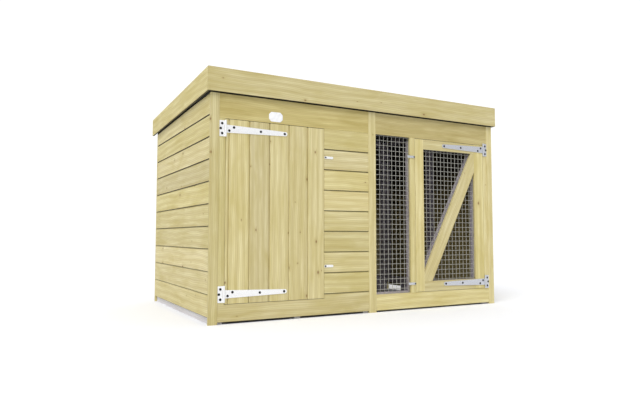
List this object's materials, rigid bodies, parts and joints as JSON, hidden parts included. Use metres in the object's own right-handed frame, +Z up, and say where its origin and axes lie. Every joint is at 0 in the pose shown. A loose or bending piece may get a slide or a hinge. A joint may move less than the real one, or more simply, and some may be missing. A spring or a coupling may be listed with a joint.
{
  "type": "dog kennel and run",
  "caption": "Timber kennel with a wire-mesh run beside it under one sloping felt roof; a boarded door and a meshed door swing on tee hinges and are held by turn buttons.",
  "frame": {"origin": "centre of the whole object's box, at the ground it stands on", "axes": "+X along the front from the kennel to the run, +Y from the front to the back, +Z up"},
  "size_m": [1.742, 1.123, 1.142],
  "materials": {
    "cladding_timber": "smooth planed pressure-treated softwood, pale yellow-green with small brown knots",
    "framing_timber": "planed untreated softwood, pale grey",
    "floor_timber": "plain softwood boards and sheet",
    "roofing_felt": "matt mineral-faced roofing felt",
    "mesh_wire": "dull galvanised wire",
    "zinc_plate": "bright zinc plate",
    "dark_screw": "black coated screw heads"
  },
  "bodies": {
    "house": {"back_corner_posts": "cladding_timber", "back_wall_cladding": "cladding_timber", "back_wall_frame": "framing_timber", "fixed_mesh_panel": "mesh_wire", "front_fascia": "cladding_timber", "front_frame": "framing_timber", "front_purlins": "framing_timber", "kennel_button_screws": "dark_screw", "kennel_floor": "floor_timber", "kennel_front_cladding": "cladding_timber", "kennel_header_board": "cladding_timber", "kennel_hinge_pins": "zinc_plate", "kennel_hinge_plates": "zinc_plate", "kennel_hinge_strip": "cladding_timber", "kennel_plate_screws": "dark_screw", "kennel_sill_board": "cladding_timber", "left_bearer": "framing_timber", "left_corner_post": "cladding_timber", "left_fascia": "cladding_timber", "left_wall_cladding": "cladding_timber", "left_wall_frame": "framing_timber", "mid_post": "cladding_timber", "middle_bearer": "framing_timber", "partition_cladding": "cladding_timber", "partition_frame": "framing_timber", "rear_eaves_batten": "framing_timber", "rear_purlins": "framing_timber", "right_bearer": "framing_timber", "right_corner_post": "cladding_timber", "right_fascia": "cladding_timber", "right_wall_cladding": "cladding_timber", "right_wall_frame": "framing_timber", "roof_deck": "floor_timber", "roof_felt": "roofing_felt", "run_button_screws": "dark_screw", "run_header_board": "cladding_timber", "run_hinge_pins": "zinc_plate", "run_hinge_plates": "zinc_plate", "run_hinge_strip": "cladding_timber", "run_mid_stile": "cladding_timber", "run_plate_screws": "dark_screw", "run_sill_board": "cladding_timber"},
    "kennel_door": {"kennel_door_boards": "cladding_timber", "kennel_door_ledges": "framing_timber", "kennel_door_brace": "framing_timber", "kennel_hinge_straps": "zinc_plate", "kennel_strap_screws": "dark_screw"},
    "run_door": {"run_door_stiles": "cladding_timber", "run_door_rails": "cladding_timber", "run_door_brace": "cladding_timber", "run_door_backing": "framing_timber", "run_door_mesh": "mesh_wire", "run_hinge_straps": "zinc_plate", "run_strap_screws": "dark_screw"},
    "kennel_upper_button_arm": {"kennel_upper_button": "zinc_plate"},
    "kennel_lower_button_arm": {"kennel_lower_button": "zinc_plate"},
    "run_upper_button_arm": {"run_upper_button": "zinc_plate"},
    "run_lower_button_arm": {"run_lower_button": "zinc_plate"}
  },
  "joints": [
    {"name": "kennel_door_hinge", "type": "hinge", "parent": "house", "child": "kennel_door", "pos_m": [-0.7835, -0.5489, 0.501], "axis": [0, 0, -1], "range_deg": [0, 170]},
    {"name": "run_door_hinge", "type": "hinge", "parent": "house", "child": "run_door", "pos_m": [0.7835, -0.5489, 0.508], "axis": [0, 0, 1], "range_deg": [0, 170]},
    {"name": "kennel_upper_button_turn", "type": "hinge", "parent": "house", "child": "kennel_upper_button_arm", "pos_m": [-0.269, -0.5441, 0.774], "axis": [0, 1, 0], "continuous": true},
    {"name": "kennel_lower_button_turn", "type": "hinge", "parent": "house", "child": "kennel_lower_button_arm", "pos_m": [-0.269, -0.5441, 0.242], "axis": [0, 1, 0], "continuous": true},
    {"name": "run_upper_button_turn", "type": "hinge", "parent": "house", "child": "run_upper_button_arm", "pos_m": [0.279, -0.5441, 0.814], "axis": [0, 1, 0], "continuous": true},
    {"name": "run_lower_button_turn", "type": "hinge", "parent": "house", "child": "run_lower_button_arm", "pos_m": [0.279, -0.5441, 0.136], "axis": [0, 1, 0], "continuous": true}
  ]
}
